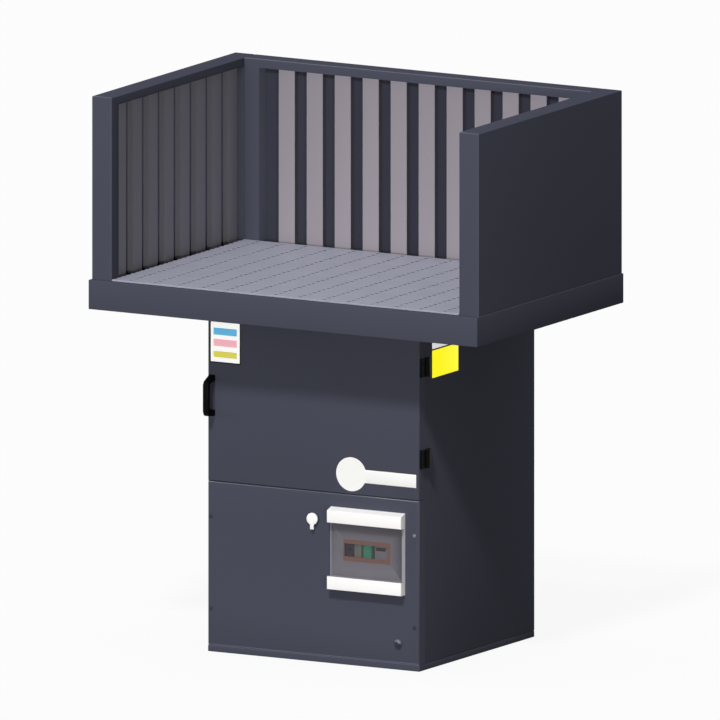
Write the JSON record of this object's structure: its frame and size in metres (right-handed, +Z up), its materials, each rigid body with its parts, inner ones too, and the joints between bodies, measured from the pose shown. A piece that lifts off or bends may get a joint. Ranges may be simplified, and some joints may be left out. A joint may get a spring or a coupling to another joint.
{
  "type": "downdraft table",
  "caption": "Downdraft table: a notched plank work surface inside a slatted three-sided hood, on a cabinet with a filter door, a service cover and a power box.",
  "frame": {"origin": "on the floor under the middle of the tray", "axes": "+X to the right, +Y to the back, +Z up"},
  "size_m": [1, 0.663, 1.261],
  "materials": {
    "paint": "satin powder coat, blue grey",
    "slats": "light grey powder coat",
    "plank": "zinc coated",
    "black": "black, satin",
    "steel": "dark",
    "white": "white",
    "smoked": "smoked grey, see-through in the dressed model",
    "grey_plastic": "grey",
    "green_plastic": "grey green",
    "paper": "pleated filter paper",
    "zinc": "zinc coated",
    "alloy": "satin",
    "motor": "blue grey enamel"
  },
  "bodies": {
    "bench": {"base_plate": "paint", "left_side": "paint", "right_side": "paint", "back_panel": "paint", "fan_deck": "paint", "service_cover": "paint", "tray": "paint", "left_hood_wall": "paint", "right_hood_wall": "paint", "back_hood_wall": "paint", "switch_bezel": "paint", "left_slat_rack": "slats", "right_slat_rack": "slats", "back_slat_rack": "slats", "plank_01": "plank", "plank_02": "plank", "plank_03": "plank", "plank_04": "plank", "plank_05": "plank", "plank_06": "plank", "plank_07": "plank", "plank_08": "plank", "plank_09": "plank", "plank_10": "plank", "plank_11": "plank", "plank_12": "plank", "plank_13": "plank", "plank_14": "plank", "plank_15": "plank", "upper_hinge_body_leaf": "black", "lower_hinge_body_leaf": "black", "door_catch": "black", "upper_hinge_pin": "steel", "lower_hinge_pin": "steel", "upper_left_cover_screw": "steel", "upper_right_cover_screw": "steel", "lower_left_cover_screw": "steel", "lower_right_cover_screw": "steel", "motor_stand": "steel", "power_box_frame": "white", "power_box": "grey_plastic", "breaker": "grey_plastic", "wide_module": "grey_plastic", "left_module": "green_plastic", "right_module": "green_plastic", "filter_cartridge": "paper", "filter_top_cap": "zinc", "filter_bottom_cap": "zinc", "inlet_ring": "zinc", "motor": "motor"},
    "door": {"filter_door": "paint", "door_handle": "black", "upper_hinge_door_leaf": "black", "lower_hinge_door_leaf": "black"},
    "box_door": {"power_box_door": "smoked"},
    "selector": {"switch_lever": "white"},
    "lock": {"cover_lock": "paint"},
    "toggle": {"breaker_toggle": "black"},
    "rotor": {"impeller": "alloy"},
    "clamp": {"filter_clamp_knob": "black"}
  },
  "joints": [
    {"name": "filter_door_hinge", "type": "hinge", "parent": "bench", "child": "door", "pos_m": [0.27855, -0.1665, 0.58515], "axis": [0, 0, 1], "range_deg": [0, 170]},
    {"name": "power_box_door_hinge", "type": "hinge", "parent": "bench", "child": "box_door", "pos_m": [0.2271, -0.19555, 0.262], "axis": [0, 0, 1], "range_deg": [0, 110]},
    {"name": "selector_turn", "type": "hinge", "parent": "bench", "child": "selector", "pos_m": [0, -0.192, 0.325], "axis": [0, -1, 0], "range_deg": [0, 90]},
    {"name": "lock_turn", "type": "hinge", "parent": "bench", "child": "lock", "pos_m": [0.219, -0.192, 0.061], "axis": [0, -1, 0], "range_deg": [0, 90]},
    {"name": "breaker_toggle_throw", "type": "hinge", "parent": "bench", "child": "toggle", "pos_m": [0.09075, -0.1845, 0.2625], "axis": [1, 0, 0], "range_deg": [0, 40]},
    {"name": "impeller_spin", "type": "hinge", "parent": "bench", "child": "rotor", "pos_m": [0, 0.08125, 0.2957], "axis": [0, 0, 1], "continuous": true},
    {"name": "filter_clamp_turn", "type": "hinge", "parent": "bench", "child": "clamp", "pos_m": [0, 0.08125, 0.538], "axis": [0, 0, 1], "continuous": true}
  ]
}
